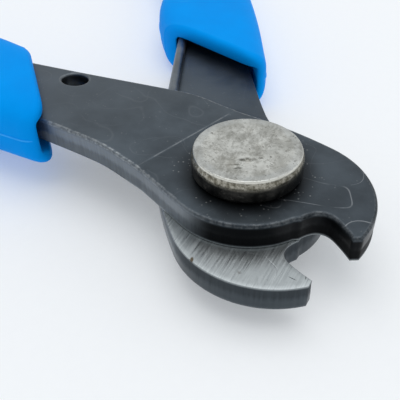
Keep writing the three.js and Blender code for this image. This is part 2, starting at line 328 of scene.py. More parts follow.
def inward(loop):
    """Unit vectors from each point of a loop into the material."""
    along = np.roll(loop, -1, 0) - np.roll(loop, 1, 0)
    along /= np.linalg.norm(along, axis=1)[:, None]
    return np.stack([-along[:, 1], along[:, 0]], 1)


def behind_crease(x, y):
    c, s = math.cos(CREASE_TURN), math.sin(CREASE_TURN)
    return -((x - CREASE_FOOT[0]) * c + (y - CREASE_FOOT[1]) * s)


def inner_height(x, y):
    """Height of the face towards the partner blade: flat at the head, one step up on the arm."""
    along = min(1.0, max(0.0, behind_crease(x, y) / CREASE_RAMP))
    return ARM_OFFSET * (1 - math.cos(math.pi * along)) / 2


def outer_height(x, y):
    relief = HEAD_RELIEF * (1 - smoothstep(behind_crease(x, y), -0.12, 0.12))
    return inner_height(x, y) + BLADE_THICKNESS - relief


def inside(points, loops):
    """True for each point that the loops enclose, counting crossings to its right."""
    result = np.zeros(len(points), bool)
    for loop in loops:
        a, b = loop, np.roll(loop, -1, 0)
        for i in range(0, len(points), 2000):
            px, py = points[i : i + 2000, 0:1], points[i : i + 2000, 1:2]
            spans = (a[:, 1] > py) != (b[:, 1] > py)
            with np.errstate(divide="ignore", invalid="ignore"):
                cross = a[:, 0] + (py - a[:, 1]) * (b[:, 0] - a[:, 0]) / (b[:, 1] - a[:, 1])
            result[i : i + 2000] ^= (np.sum(spans & (px < cross), 1) % 2).astype(bool)
    return result


def distance_to(points, loops):
    edge = np.concatenate(loops)
    return np.array([np.min(np.linalg.norm(edge - p, axis=1)) for p in points])


def flat_points(loops):
    """Points that fill a blade's flat faces: lines beside its edges, rows along the crease, a grid."""
    beside = np.concatenate([loop + inward(loop) * d for loop in loops for d in EDGE_LINES])
    beside = beside[inside(beside, loops)]
    beside = beside[distance_to(beside, loops) > 0.5]
    crease = []
    c, s = math.cos(CREASE_TURN), math.sin(CREASE_TURN)
    for behind in CREASE_ROWS:
        for i in range(-30, 60):
            across = i * CREASE_ROW_SPACING
            x = CREASE_FOOT[0] - c * behind - s * across
            y = CREASE_FOOT[1] - s * behind + c * across
            crease.append((x, y))
    low, high = loops[0].min(0), loops[0].max(0)
    xs = np.arange(low[0], high[0], FLAT_SPACING)
    ys = np.arange(low[1], high[1], FLAT_SPACING * 0.87)
    grid = [(x + (j % 2) * FLAT_SPACING / 2, y) for j, y in enumerate(ys) for x in xs]
    grid = [p for p in grid if not CREASE_CLEARANCE[0] < behind_crease(*p) < CREASE_CLEARANCE[1]]
    filler = np.array(crease + grid)
    filler = filler[inside(filler, loops)]
    filler = filler[distance_to(filler, loops) > EDGE_CLEARANCE]
    return np.concatenate([beside, filler])


def edge_rows(outer_round, inner_round, wall_rows):
    """Rows up a blade's edge: kind, inset, and depth from the flat face or share of the wall's height."""
    rows = []
    for i in range(ROUND_STEPS + 1):
        turn = math.pi / 2 * (1 - i / ROUND_STEPS)
        rows.append(("inner", inner_round * (1 - math.cos(turn)), inner_round * (1 - math.sin(turn))))
    rows += [("wall", 0.0, (i + 1) / (wall_rows + 1)) for i in range(wall_rows)]
    for i in range(ROUND_STEPS + 1):
        turn = math.pi / 2 * i / ROUND_STEPS
        rows.append(("outer", outer_round * (1 - math.cos(turn)), outer_round * (1 - math.sin(turn))))
    return rows


def blade_mesh(name, half, has_hole, outer_round, inner_round, wall_rows):
    """One blade: rounded edges, a sheared wall and two flat faces, with attributes for its finish."""
    loops = [blade_outline(), hole_outline((0, 0), PIVOT_HOLE_RADIUS, PIVOT_HOLE_RADIUS, 0, 72)]
    if has_hole:
        loops.append(hole_outline(hole_centre(), HOLE_HALF_LENGTH, HOLE_HALF_WIDTH, HANDLE_ANGLE, 40))
    verts, faces = [], []
    edge, across, wall = [], [], []
    inner_rings, outer_rings = [], []
    rows = edge_rows(outer_round, inner_round, wall_rows)
    for loop in loops:
        normals = inward(loop)
        first = len(verts)
        for kind, inset, value in rows:
            for (x0, y0), (nx, ny) in zip(loop, normals):
                low, high = inner_height(x0, y0), outer_height(x0, y0)
                bottom, top = low + inner_round, high - outer_round
                if kind == "inner":
                    z, shear = low + value, 0.0
                elif kind == "outer":
                    z, shear = high - value, 1.0
                else:
                    z, shear = bottom + (top - bottom) * value, value
                x, y = x0 + nx * inset, y0 + ny * inset
                if kind == "wall":
                    # The lower part of a sheared wall is torn, set back a little and rough
                    rough = noise.fractal(Vector((x * 1.3, y * 1.3, z * 0.6)), 0.9, 2.0, 4)
                    torn = 1 - smoothstep(shear, 0.45, 0.62)
                    setback = torn * (TORN_SETBACK + TORN_ROUGHNESS * rough)
                    x += nx * setback
                    y += ny * setback
                verts.append(placed(half, x, y, z))
                edge.append(min(z - low, high - z) if kind == "wall" else 0.0)
                across.append(shear)
                wall.append(1.0 if kind == "wall" else (0.5 if value > 0 else 0.0))
        count = len(loop)
        for row in range(len(rows) - 1):
            for i in range(count):
                j = (i + 1) % count
                a, b = first + row * count + i, first + row * count + j
                c, d = a + count, b + count
                faces.append((a, b, d, c))
        inner_rings.append(np.arange(first, first + count))
        top_row = first + (len(rows) - 1) * count
        outer_rings.append(np.arange(top_row, top_row + count))
    # Flat faces share one triangulation
    rings = [loop + inward(loop) * outer_round for loop in loops]
    ring_points = np.concatenate(rings)
    filler = flat_points(loops)
    points = np.concatenate([ring_points, filler])
    borders, start = [], 0
    for ring in rings:
        borders += [(start + i, start + (i + 1) % len(ring)) for i in range(len(ring))]
        start += len(ring)
    coords = [Vector((float(x), float(y))) for x, y in points]
    flat = delaunay_2d_cdt(coords, borders, [], 0, 1e-6, True)
    sources = [ids[0] if ids else None for ids in flat[3]]
    out_xy = np.array([[v.x, v.y] for v in flat[0]])
    triangles = [tuple(t) for t in flat[2]]
    middles = np.array([out_xy[list(t)].mean(0) for t in triangles])
    keep = inside(middles, rings)
    filler_distance = distance_to(filler, loops)
    ring_count = len(ring_points)
    for is_outer, face_rings in ((True, outer_rings), (False, inner_rings)):
        ring_ids = np.concatenate(face_rings)
        first = len(verts)
        for (x, y), distance in zip(filler, filler_distance):
            z = outer_height(x, y) if is_outer else inner_height(x, y)
            verts.append(placed(half, x, y, z))
            edge.append(float(distance))
            across.append(1.0 if is_outer else 0.0)
            wall.append(0.0)
        for triangle, wanted in zip(triangles, keep):
            if not wanted:
                continue
            ids = [sources[v] for v in triangle]
            corner = [int(ring_ids[i]) if i < ring_count else first + i - ring_count for i in ids]
            faces.append(tuple(corner) if is_outer else tuple(reversed(corner)))
    mesh = smooth_mesh(name, verts, faces)
    ground = [blade_ground(half, v, a, w) for v, a, w in zip(verts, across, wall)]
    crease = [behind_crease(x / MM, (y if half == UPPER else -y) / MM) for x, y, _ in verts]
    finish = {"edge_mm": edge, "across": across, "wall": wall, "ground": ground, "crease_mm": crease}
    for label, values in finish.items():
        store(mesh, label, values)
    return mesh


def blade_ground(half, vertex, across, wall):
    """How far a place is ground to bare metal: the head's inner face, and the walls of the mouth."""
    x, y, z = (c / MM for c in vertex)
    if half == LOWER:
        y, height = -y, LOWER_BLADE_TOP - z
    else:
        height = z - UPPER_BLADE_Z
    if across == 0.0 and wall < 0.6:
        return 1.0 - smoothstep(height, 0.12, 0.3)
    in_mouth = smoothstep(x, 8.3, 8.6) * (1 - smoothstep(x, 9.2, 10.0)) * smoothstep(y, -0.3, 0.1)
    return MOUTH_BARE * in_mouth if wall > 0.6 else 0.0


def store(mesh, name, values):
    attribute = mesh.attributes.new(name, "FLOAT", "POINT")
    attribute.data.foreach_set("value", np.asarray(values, np.float32))


# ---------------------------------------------------------------- grips


def grip_outer(station):
    return GRIP_OUTER - GRIP_OUTER_TAPER * smoothstep(station, 60, 108)


def grip_inner(station):
    swell = GRIP_SWELL * math.exp(-(((station - GRIP_SWELL_STATION) / GRIP_SWELL_LENGTH) ** 2))
    return -(GRIP_INNER + swell + GRIP_FLARE * smoothstep(station, 89, 107))


def squared(value, squareness):
    return math.copysign(abs(value) ** (2 / squareness), value)


def mouth_station(side, slip):
    """Station of the grip's mouth at a distance beside the handle axis: slanting, with a round corner."""
    slope = 1 / math.tan(HANDLE_ANGLE - MOUTH_TURN)
    straight = MOUTH_STATION + slip - side * slope
    corner_side = grip_outer(MOUTH_STATION) + 0.8
    past = max(0.0, side - (corner_side - MOUTH_CORNER_WIDTH))
    return straight + MOUTH_CORNER_SETBACK * (past / MOUTH_CORNER_WIDTH) ** 2.4


def grip_mesh(name, half, half_thickness, squareness, around, rows_along):
    """One grip as a single skin: outside, rounded lip, and the pocket that holds the tang."""
    slip = GRIP_SLIP[half]
    verts = []
    lip = MOUTH_LIP
    angles = [-2 * math.pi * i / around for i in range(around)]

    def outer_section(station, angle, size=1.0):
        own = station - slip
        outer, inner = grip_outer(own), grip_inner(own)
        reach = size * squared(math.cos(angle), squareness) * (outer - inner) / 2
        side = (outer + inner) / 2 + reach
        return side, size * squared(math.sin(angle), squareness) * half_thickness - GRIP_DROP

    def pocket_section(station, angle, size=1.0):
        deep = 1 - smoothstep(station, 39, 39.8)
        top = BLADE_THICKNESS / 2 + POCKET_HEIGHT_ROOM
        bottom = -top - POCKET_SPRING_ROOM * deep
        half_width = arm_half_width(station) + POCKET_SIDE_ROOM
        if math.cos(angle) > 0:
            # The mouth stands off the arm's outer edge
            half_width += POCKET_MOUTH_ROOM * (1 - smoothstep(station, 25, 31))
        side = size * squared(math.cos(angle), POCKET_SQUARENESS) * half_width
        rise = size * squared(math.sin(angle), POCKET_SQUARENESS) * (top - bottom) / 2
        return side, (top + bottom) / 2 + rise

    def add_row(make):
        for angle in angles:
            station, side, z = make(angle)
            x, y = handle_point(station, side)
            verts.append(placed(half, x, y, ARM_MIDDLE + z))

    def mouth_at(angle):
        side, _ = outer_section(MOUTH_STATION + slip, angle)
        side, _ = outer_section(mouth_station(side, slip), angle)
        return mouth_station(side, slip)

    end = GRIP_END + slip
    rounding = GRIP_END_ROUNDING

    def outside(t):
        def make(angle):
            start = mouth_at(angle) + lip
            station = start + (end - start) * t
            over = max(0.0, (station - (end - rounding)) / rounding)
            size = math.sqrt(max(0.0, 1 - min(1.0, over) ** 2))
            side, z = outer_section(station, angle, size)
            return station, side, z

        return make

    def lip_row(turn):
        def make(angle):
            near = mouth_at(angle)
            share = (1 - math.cos(turn)) / 2
            outer_side, outer_z = outer_section(near + lip * (1 - math.sin(turn)), angle)
            inner_side, inner_z = pocket_section(near, angle)
            side = outer_side + (inner_side - outer_side) * share
            setback = lip if turn < math.pi / 2 else 0.35 * lip
            station = mouth_station(side, slip) + setback * (1 - math.sin(turn))
            return station, side, outer_z + (inner_z - outer_z) * share

        return make

    def pocket_row(station_now, size=1.0):
        def make(angle):
            side, z = pocket_section(station_now, angle, size)
            return station_now, side, z

        return make

    # From the far end of the outside, over the lip, and down the pocket
    for i in range(rows_along):
        t = i / (rows_along - 1)
        add_row(outside(1 - (1 - math.cos(math.pi * t)) / 2 * 0.999 - 0.001 * t))
    lip_steps = 10
    for i in range(1, lip_steps + 1):
        add_row(lip_row(math.pi * i / lip_steps))
    for station in POCKET_STATIONS:
        add_row(pocket_row(station))
    for station, size in ((TANG_END + 0.4, 0.94), (TANG_END + 0.8, 0.6)):
        add_row(pocket_row(station, size))
    return turned_mesh(name, verts, around)


# ---------------------------------------------------------------- rivet and spring


def lower_rim(rounding, base, count):
    """Rounded lower rim of a rivet head, from its flat underside out to its side."""
    middle = RIVET_HEAD_RADIUS - rounding
    return [
        (middle + rounding * math.sin(a), base + rounding - rounding * math.cos(a))
        for a in np.linspace(0.2, math.pi / 2, count)
    ]


def rivet_profile():
    """Radius and height along the rivet's skin, from the lower face's middle up to the upper one's."""
    top = UPPER_HEAD_TOP
    side, shank = RIVET_HEAD_RADIUS, SHANK_RADIUS
    profile = [(0.4, 0.0), (2.0, 0.0), (4.0, 0.0), (4.95, 0.0)]
    profile += lower_rim(0.5, 0.0, 7)
    profile += [(side, 1.6), (side, LOWER_HEAD_HEIGHT - 0.15), (side - 0.15, LOWER_HEAD_HEIGHT)]
    profile += [(shank, height) for height in (LOWER_HEAD_HEIGHT, MIDDLE_Z, UPPER_HEAD_Z)]
    profile += [(5.0, UPPER_HEAD_Z)]
    profile += lower_rim(0.4, UPPER_HEAD_Z, 6)
    profile += [(side, UPPER_HEAD_Z + 0.9), (side, top - 1.15), (side, top - 0.8)]
    profile += [(5.49, top - 0.68), (5.45, top - 0.55), (5.39, top - 0.38), (5.33, top - 0.24)]
    # Rounded rim of the struck face, then the face in rings
    profile += [
        (5.14 + 0.16 * math.cos(a), top - 0.16 + 0.16 * math.sin(a))
        for a in np.linspace(0.15, math.pi / 2, 6)
    ]
    return profile + [(radius, top) for radius in RIVET_FACE_RINGS]


def struck_depth(x, y, radius):
    """Depth of the upper face below its rim: shallow hammered waves, a small dent beside the middle."""
    waves = RIVET_WAVES * (1 + noise.fractal(Vector((x * 0.55, y * 0.55, 3.0)), 1.0, 2.0, 3))
    across, along = (x - DENT_CENTRE[0]) / DENT_SIZE[0], (y - DENT_CENTRE[1]) / DENT_SIZE[1]
    dent = DENT_DEPTH * math.exp(-(across**2) - along**2)
    return waves * smoothstep(5.0 - radius, 0, 0.8) + dent


def rivet_mesh(name, around=144):
    """The rivet turned about Z: lower head, shank and the upper head with its struck face."""
    verts = []
    for radius, height in rivet_profile():
        for i in range(around):
            angle = 2 * math.pi * i / around
            x, y, z = radius * math.cos(angle), radius * math.sin(angle), height
            if height > UPPER_HEAD_TOP - 0.02 and radius < 5.0:
                z -= struck_depth(x, y, radius)
            elif UPPER_HEAD_Z + 0.5 < height < UPPER_HEAD_TOP - 0.2:
                # The side stays inside its own turning
                wave = noise.fractal(Vector((x * 0.6, y * 0.6, z * 1.6)), 1.0, 2.0, 3)
                pull = 1 - 0.006 * abs(wave)
                x, y = x * pull, y * pull
            verts.append((x * MM, y * MM, z * MM))
    return turned_mesh(name, verts, around)


def seam_points(sleeve, half):
    """The mould line round a sleeve at its middle height, found on the sleeve's own skin."""
    height = ARM_MIDDLE - GRIP_DROP
    slip = GRIP_SLIP[half]
    last = GRIP_END + slip - GRIP_END_ROUNDING
    rays = []
    for station in np.arange(MOUTH_STATION + slip - 4.5, last, 0.6):
        rays.append((handle_point(station, 16.0), handle_point(station, 0.0)))
    for angle in np.arange(math.pi / 2, -math.pi / 2 - 0.001, -math.pi / 40):
        out = handle_point(last + 14 * math.cos(angle), 14 * math.sin(angle))
        rays.append((out, handle_point(last, 0.0)))
    for station in np.arange(last, MOUTH_STATION + slip + 9.0, -0.6):
        rays.append((handle_point(station, -16.0), handle_point(station, 0.0)))
    points = []
    for start, aim in rays:
        origin = Vector(placed(half, *start, height))
        target = Vector(placed(half, *aim, height))
        found, place, _, _ = sleeve.ray_cast(origin, (target - origin).normalized())
        if found:
            points.append(tuple(place))
    return points


def hairpin_points(bend_radius):
    """The spring's centreline: in along the lower arm, round the bend, out along the upper arm."""
    near, far = (
        handle_point(station, -arm_half_width(station) + SPRING_INSET)
        for station in (SPRING_FIRST_STATION, SPRING_LAST_STATION)
    )
    slope = (near[1] - far[1]) / (near[0] - far[0])
    half = math.atan(slope)
    corner_x = near[0] - near[1] / slope
    reach = bend_radius / math.tan(half)
    start = (corner_x - reach * math.cos(half), -reach * math.sin(half))
    centre_x = corner_x - bend_radius / math.sin(half)
    turn = math.pi / 2 - half
    # The upper arm's leg is at -Y
    leg = [
        tuple(a + (b - a) * i / SPRING_LEG_STEPS for a, b in zip(far, start))
        for i in range(SPRING_LEG_STEPS)
    ]
    bend = [on_circle((centre_x, 0.0), bend_radius, a) for a in np.linspace(-turn, turn, 25)]
    path = leg + bend + [(x, -y) for x, y in reversed(leg)]
    return [(x * MM, y * MM, MIDDLE_Z * MM) for x, y in path]


def path_object(name, points):
    curve = bpy.data.curves.new(name, "CURVE")
    curve.dimensions = "3D"
    spline = curve.splines.new("POLY")
    spline.points.add(len(points) - 1)
    for point, place in zip(spline.points, points):
        point.co = (*place, 1.0)
    piece = bpy.data.objects.new(name, curve)
    bpy.context.scene.collection.objects.link(piece)
    return piece


def sweep_tree(name):
    """Geometry nodes: a round section swept along a curve, with both ends domed."""
    tree = bpy.data.node_groups.new(name, "GeometryNodeTree")
    face = tree.interface
    face.new_socket("Path", in_out="INPUT", socket_type="NodeSocketGeometry")
    kinds = {"Radius": "Float", "Spacing": "Float", "Sides": "Int", "Finish": "Material"}
    sockets = {}
    for label, kind in kinds.items():
        socket = face.new_socket(label, in_out="INPUT", socket_type="NodeSocket" + kind)
        sockets[label] = socket.identifier
    face.new_socket("Wire", in_out="OUTPUT", socket_type="NodeSocketGeometry")
    n = Nodes(tree)
    given = n.add("NodeGroupInput").outputs
    path = n.add(
        "GeometryNodeResampleCurve", {"Curve": given["Path"], "Length": given["Spacing"]}, mode="LENGTH"
    )
    # The section grows from each end as a dome, over a length of one radius
    along = n.add("GeometryNodeSplineParameter").outputs["Length"]
    whole = n.add("GeometryNodeSplineLength").outputs["Length"]
    from_end = n.math("MINIMUM", along, n.math("SUBTRACT", whole, along))
    dome = n.add("ShaderNodeFloatCurve", {"Value": n.math("DIVIDE", from_end, given["Radius"])})
    curve = dome.mapping.curves[0]
    curve.points[0].location = (0.0, 0.35)
    curve.points[1].location = (1.0, 1.0)
    curve.points.new(0.35, 0.82)
    circle = n.add(
        "GeometryNodeCurvePrimitiveCircle", {"Resolution": given["Sides"], "Radius": given["Radius"]}
    )
    sweep = n.add(
        "GeometryNodeCurveToMesh",
        {
            "Curve": path.outputs["Curve"],
            "Profile Curve": circle.outputs["Curve"],
            "Scale": dome.outputs["Value"],
            "Fill Caps": True,
        },
    )
    smooth = n.add("GeometryNodeSetShadeSmooth", {"Geometry": sweep.outputs["Mesh"]})
    plain = n.add("GeometryNodeRealizeInstances", {"Geometry": smooth.outputs["Geometry"]})
    paint = n.add(
        "GeometryNodeSetMaterial", {"Geometry": plain.outputs["Geometry"], "Material": given["Finish"]}
    )
    n.add("NodeGroupOutput", {"Wire": paint.outputs["Geometry"]})
    return tree, sockets


def swept_mesh(name, points, radius, spacing, sides, finish):
    """A plain mesh from the sweep tree, run once along the given points."""
    carrier = path_object(name + "_path", points)
    tree, sockets = sweep_tree(name + "_sweep")
    modifier = carrier.modifiers.new("Sweep", "NODES")
    modifier.node_group = tree
    for label, value in (("Radius", radius), ("Spacing", spacing), ("Sides", sides), ("Finish", finish)):
        modifier[sockets[label]] = value
    bpy.context.view_layer.update()
    shaped = carrier.evaluated_get(bpy.context.evaluated_depsgraph_get())
    mesh = bpy.data.meshes.new_from_object(shaped)
    mesh.name = name
    bpy.data.objects.remove(carrier)
    return mesh


def add_piece(name, mesh, material=None):
    piece = bpy.data.objects.new(name, mesh)
    bpy.context.scene.collection.objects.link(piece)
    if material is not None:
        mesh.materials.clear()
        mesh.materials.append(material)
    return piece


# ---------------------------------------------------------------- shader groups


class Nodes:
    """Adds nodes to a tree, with each input given as a value or as another node's output."""

    def __init__(self, tree):
        self.tree = tree

    def add(self, kind, inputs=None, **settings):
        node = self.tree.nodes.new(kind)
        for key, value in settings.items():
            setattr(node, key, value)
        for key, value in (inputs or {}).items():
            if isinstance(value, bpy.types.NodeSocket):
                self.tree.links.new(value, node.inputs[key])
            else:
                node.inputs[key].default_value = value
        return node

    def group(self, tree, inputs):
        return self.add("ShaderNodeGroup", inputs, node_tree=tree).outputs

    def math(self, operation, a, b=0.0, clamp=False):
        return self.add("ShaderNodeMath", {0: a, 1: b}, operation=operation, use_clamp=clamp).outputs[0]

    def product(self, first, *others):
        for other in others:
            first = self.math("MULTIPLY", first, other)
        return first

    def inverse(self, share):
        return self.math("SUBTRACT", 1.0, share, clamp=True)

    def fade(self, value, reach):
        """One where the value is nothing, falling evenly to nothing at the reach."""
        return self.inverse(self.math("DIVIDE", value, reach))

    def span(self, value, low, high, to_low=0.0, to_high=1.0):
        """Maps low..high to to_low..to_high with smooth ends."""
        inputs = {"Value": value, "From Min": low, "From Max": high, "To Min": to_low, "To Max": to_high}
        return self.add("ShaderNodeMapRange", inputs, interpolation_type="SMOOTHSTEP").outputs["Result"]

    def mix_color(self, share, a, b, blend="MIX"):
        node = self.add("ShaderNodeMix", {0: share}, data_type="RGBA", blend_type=blend)
        for index, value in ((6, a), (7, b)):
            if isinstance(value, bpy.types.NodeSocket):
                self.tree.links.new(value, node.inputs[index])
            else:
                node.inputs[index].default_value = (*value[:3], 1.0)
        return node.outputs[2]

    def mix_value(self, share, a, b):
        return self.add("ShaderNodeMix", {0: share, 2: a, 3: b}, data_type="FLOAT").outputs[0]

    def turned(self, coordinates, place, turn, lengths):
        """Coordinates measured from a place, turned about Z and in units of the lengths."""
        return self.add(
            "ShaderNodeMapping",
            {"Vector": coordinates, "Location": place, "Rotation": (0.0, 0.0, turn), "Scale": lengths},
            vector_type="TEXTURE",
        ).outputs[0]

    def noise(self, coordinates, scale, detail=4.0, roughness=0.55, lengths=None, turn=0.0):
        """Noise whose marks are lengths times as long along each axis, turned about Z."""
        if lengths is not None:
            coordinates = self.turned(coordinates, (0.0, 0.0, 0.0), turn, lengths)
        inputs = {"Vector": coordinates, "Scale": scale, "Detail": detail, "Roughness": roughness}
        return self.add("ShaderNodeTexNoise", inputs).outputs["Fac"]

    def spot(self, coordinates, centre, size, turn=0.0):
        """Soft-edged mark, from its centre and its half length, width and depth in millimetres."""
        half_sizes = (*size, 0.5)[:3]
        place = tuple(c * MM for c in centre)
        local = self.turned(coordinates, place, turn, tuple(c * MM for c in half_sizes))
        reach = self.add("ShaderNodeVectorMath", {0: local}, operation="LENGTH").outputs["Value"]
        return self.inverse(self.span(reach, 0.4, 1.0))

    def pivot_distance(self, position):
        """Distance in metres from the pivot's axis."""
        level = self.add("ShaderNodeVectorMath", {0: position, 1: (1.0, 1.0, 0.0)}, operation="MULTIPLY")
        return self.add("ShaderNodeVectorMath", {0: level.outputs[0]}, operation="LENGTH").outputs["Value"]

    def bump(self, height, strength, distance):
        inputs = {"Height": height, "Strength": strength, "Distance": distance}
        return self.add("ShaderNodeBump", inputs).outputs[0]


def shared_group(name, defaults, outputs, build):
    """A shader group, built on its first use: a position and some values in, masks and values out."""
    if name in bpy.data.node_groups:
        return bpy.data.node_groups[name]
    tree = bpy.data.node_groups.new(name, "ShaderNodeTree")
    tree.interface.new_socket("Position", in_out="INPUT", socket_type="NodeSocketVector")
    for label, default in defaults.items():
        socket = tree.interface.new_socket(label, in_out="INPUT", socket_type="NodeSocketFloat")
        socket.default_value = default
    for label in outputs:
        tree.interface.new_socket(label, in_out="OUTPUT", socket_type="NodeSocketFloat")
    n = Nodes(tree)
    results = build(n, n.add("NodeGroupInput").outputs)
    n.add("NodeGroupOutput", dict(zip(outputs, results)))
    return tree


def wear_and_highlight_group():
    """Bright, broken wear and painted highlight that follow an edge, from the distance to that edge in
    millimetres.
    """

    def build(n, given):
        near = n.fade(given["Distance"], given["Reach"])
        broken = n.noise(given["Position"], given["Breaks"], 5.0, 0.62)
        patch = n.math("ADD", n.math("SUBTRACT", broken, 0.5), given["Cover"])
        return [n.product(n.span(near, 0.15, 0.95), n.span(patch, 0.38, 0.62))]

    defaults = {"Distance": 0.0, "Reach": 0.3, "Breaks": 900.0, "Cover": 0.5}
    return shared_group("Edge Wear And Highlight", defaults, ("Mask",), build)


def grain_group():
    """Fine mottling and specks of a treated surface, as a value around 0.5 and a height."""

    def build(n, given):
        cloud = n.noise(given["Position"], given["Cloud Scale"], 6.0, 0.6)
        fine = n.noise(given["Position"], given["Speck Scale"], 3.0, 0.7)
        specks = n.span(n.math("ADD", fine, given["Speck Cover"]), 0.92, 1.05)
        height = n.math("ADD", n.product(fine, 0.7), n.product(cloud, 0.3))
        return [cloud, specks, height]

    defaults = {"Cloud Scale": 220.0, "Speck Scale": 3200.0, "Speck Cover": 0.3}
    return shared_group("Surface Grain", defaults, ("Cloud", "Specks", "Height"), build)


def scratch_group():
    """Long fine handling scratches, curved a little, as a mask."""

    def build(n, given):
        # A scratch lies where a slow noise crosses its middle value, and only in some patches
        masks = []
        for shift in (0.0, 7.3):
            inputs = {0: given["Position"], 1: (shift, shift, 0.0)}
            place = n.add("ShaderNodeVectorMath", inputs, operation="ADD").outputs[0]
            slow = n.noise(place, given["Scale"], 0.6, 0.3)
            line = n.fade(n.math("ABSOLUTE", n.math("SUBTRACT", slow, 0.5)), given["Width"])
            patch = n.noise(place, n.product(given["Scale"], 1.7), 3.0, 0.6)
            masks.append(n.product(line, n.span(n.math("ADD", patch, given["Cover"]), 0.98, 1.12)))
        return [n.math("MAXIMUM", *masks)]

    defaults = {"Scale": 120.0, "Width": 0.02, "Cover": 0.5}
    return shared_group("Handling Scratches", defaults, ("Mask",), build)


# ---------------------------------------------------------------- materials

# Sheared wall of the blades, from its torn part to its burnished one
WALL_DARK = (0.135, 0.152, 0.168)
WALL_MIDDLE = (0.165, 0.186, 0.206)
WALL_LIGHT = (0.19, 0.213, 0.235)

# What the walls' colour is multiplied by at the jaws, partly the walls' own darker tone and partly painted
# shade, and the turn of the grinding lines
UPPER_JAW_WALL_TONE_AND_SHADE = (0.025, 0.026, 0.028)
LOWER_JAW_WALL_TONE_AND_SHADE = (0.33, 0.35, 0.36)
GRIND_TURN = math.radians(-59)

# Nicks in the lower jaw's ground face: centre, half length and half width, turn, colour. The rust is the
# steel's own; the near-black is painted shade in nicks that the mesh doesn't dent
RUST = (0.12, 0.095, 0.065)
PAINTED_NICK_SHADE = (0.015, 0.015, 0.015)
JAW_NICKS = (
    ((5.3, -9.6, LOWER_BLADE_TOP), (0.5, 0.22), -0.7, RUST),
    ((5.2, -9.9, LOWER_BLADE_TOP), (0.28, 0.12), -0.9, PAINTED_NICK_SHADE),
    ((12.4, -2.3, LOWER_BLADE_TOP), (0.42, 0.07), -0.9, PAINTED_NICK_SHADE),
    ((11.9, -3.4, LOWER_BLADE_TOP), (0.5, 0.05), 0.4, PAINTED_NICK_SHADE),
)

# Bruises on the rivet's struck face: centre, half length and half width
BRUISE_TURN = math.radians(60)
BRUISE_SHADE = (0.11, 0.108, 0.09)
BRUISES = (
    ((1.5, -1.1), (1.1, 0.45)),
    ((1.4, -2.7), (0.9, 0.12)),
    ((2.1, -2.6), (0.6, 0.16)),
)


def new_material(name):
    material = bpy.data.materials.new(name)
    material.use_nodes = True
    material.node_tree.nodes.clear()
    n = Nodes(material.node_tree)
    position = n.add("ShaderNodeTexCoord").outputs["Object"]
    return material, n, position


def finish_material(n, surface):
    """Gives the material its Principled shader, with the surface's values as inputs."""
    shader = n.add("ShaderNodeBsdfPrincipled", surface)
    n.add("ShaderNodeOutputMaterial", {"Surface": shader.outputs["BSDF"]})


def value_of(n, name):
    return n.add("ShaderNodeAttribute", attribute_name=name, attribute_type="GEOMETRY").outputs["Fac"]


def oxide_skin(n, position, grain, forward, settings):
    """Black oxide: slow clouds, darker from the arm towards the head and jaws, painted shade round the
    rivet's head, with specks and thin places.
    """
    cloud = n.span(grain["Cloud"], 0.3, 0.7)
    skin = n.mix_color(cloud, settings.oxide_dark, settings.oxide_light)
    # Darker from the arm towards the head and jaws
    jaw_darker_tone = tuple(0.62 * c for c in settings.oxide_dark)
    towards_jaw = n.span(forward, -27 * MM, -2 * MM)
    skin = n.mix_color(towards_jaw, skin, n.mix_color(cloud, jaw_darker_tone, settings.oxide_dark))
    skin = n.mix_color(n.product(grain["Specks"], 0.25), skin, (0.3, 0.31, 0.3))
    radius = n.pivot_distance(position)
    # Painted shade: a near-black ring on the blade round the rivet's head
    rivet_painted_shade = n.inverse(n.span(radius, 5.4 * MM, 7.8 * MM))
    skin = n.mix_color(n.product(rivet_painted_shade, 0.75), skin, (0.008, 0.009, 0.01))
    flecks = n.add("ShaderNodeTexVoronoi", {"Vector": position, "Scale": 2100.0, "Randomness": 1.0})
    near_rivet = n.inverse(n.span(radius, 6.5 * MM, 8.5 * MM))
    thinned = n.math("ADD", n.noise(position, 900.0, 2.0, 0.5), n.product(near_rivet, 0.1))
    dust = n.inverse(n.span(flecks.outputs["Distance"], 0.10, 0.24))
    dust = n.product(dust, n.span(thinned, 0.52, 0.62), n.mix_value(near_rivet, 0.25, 0.7))
    return n.mix_color(dust, skin, (0.3, 0.31, 0.31))


def handling_marks(n, position, flat, forward):
    """Mask of the scratches from handling, on the flat faces and mostly at the jaw."""
    inputs = {"Position": position, "Scale": 160.0, "Width": 0.0065, "Cover": 0.58}
    scratches = n.group(scratch_group(), inputs)
    near_jaw = n.span(forward, 4 * MM, 9 * MM)
    return n.product(scratches["Mask"], flat, n.mix_value(near_jaw, 0.1, 0.85))


def sheared_wall(n, lines, torn, forward, jaw_wall_tone_and_shade):
    """Sheared wall: burnished near the outer face, torn and darker below, with upright lines, and darker
    at the jaws, partly with painted shade.
    """
    share = n.span(lines, 0.3, 0.7)
    burnished = n.mix_color(share, WALL_MIDDLE, WALL_LIGHT)
    color = n.mix_color(torn, burnished, n.mix_color(share, WALL_DARK, WALL_MIDDLE))
    # Darker at the jaws: partly the walls' own tone, partly painted shade
    return n.mix_color(n.span(forward, 0.5 * MM, 4.5 * MM), color, jaw_wall_tone_and_shade, "MULTIPLY")


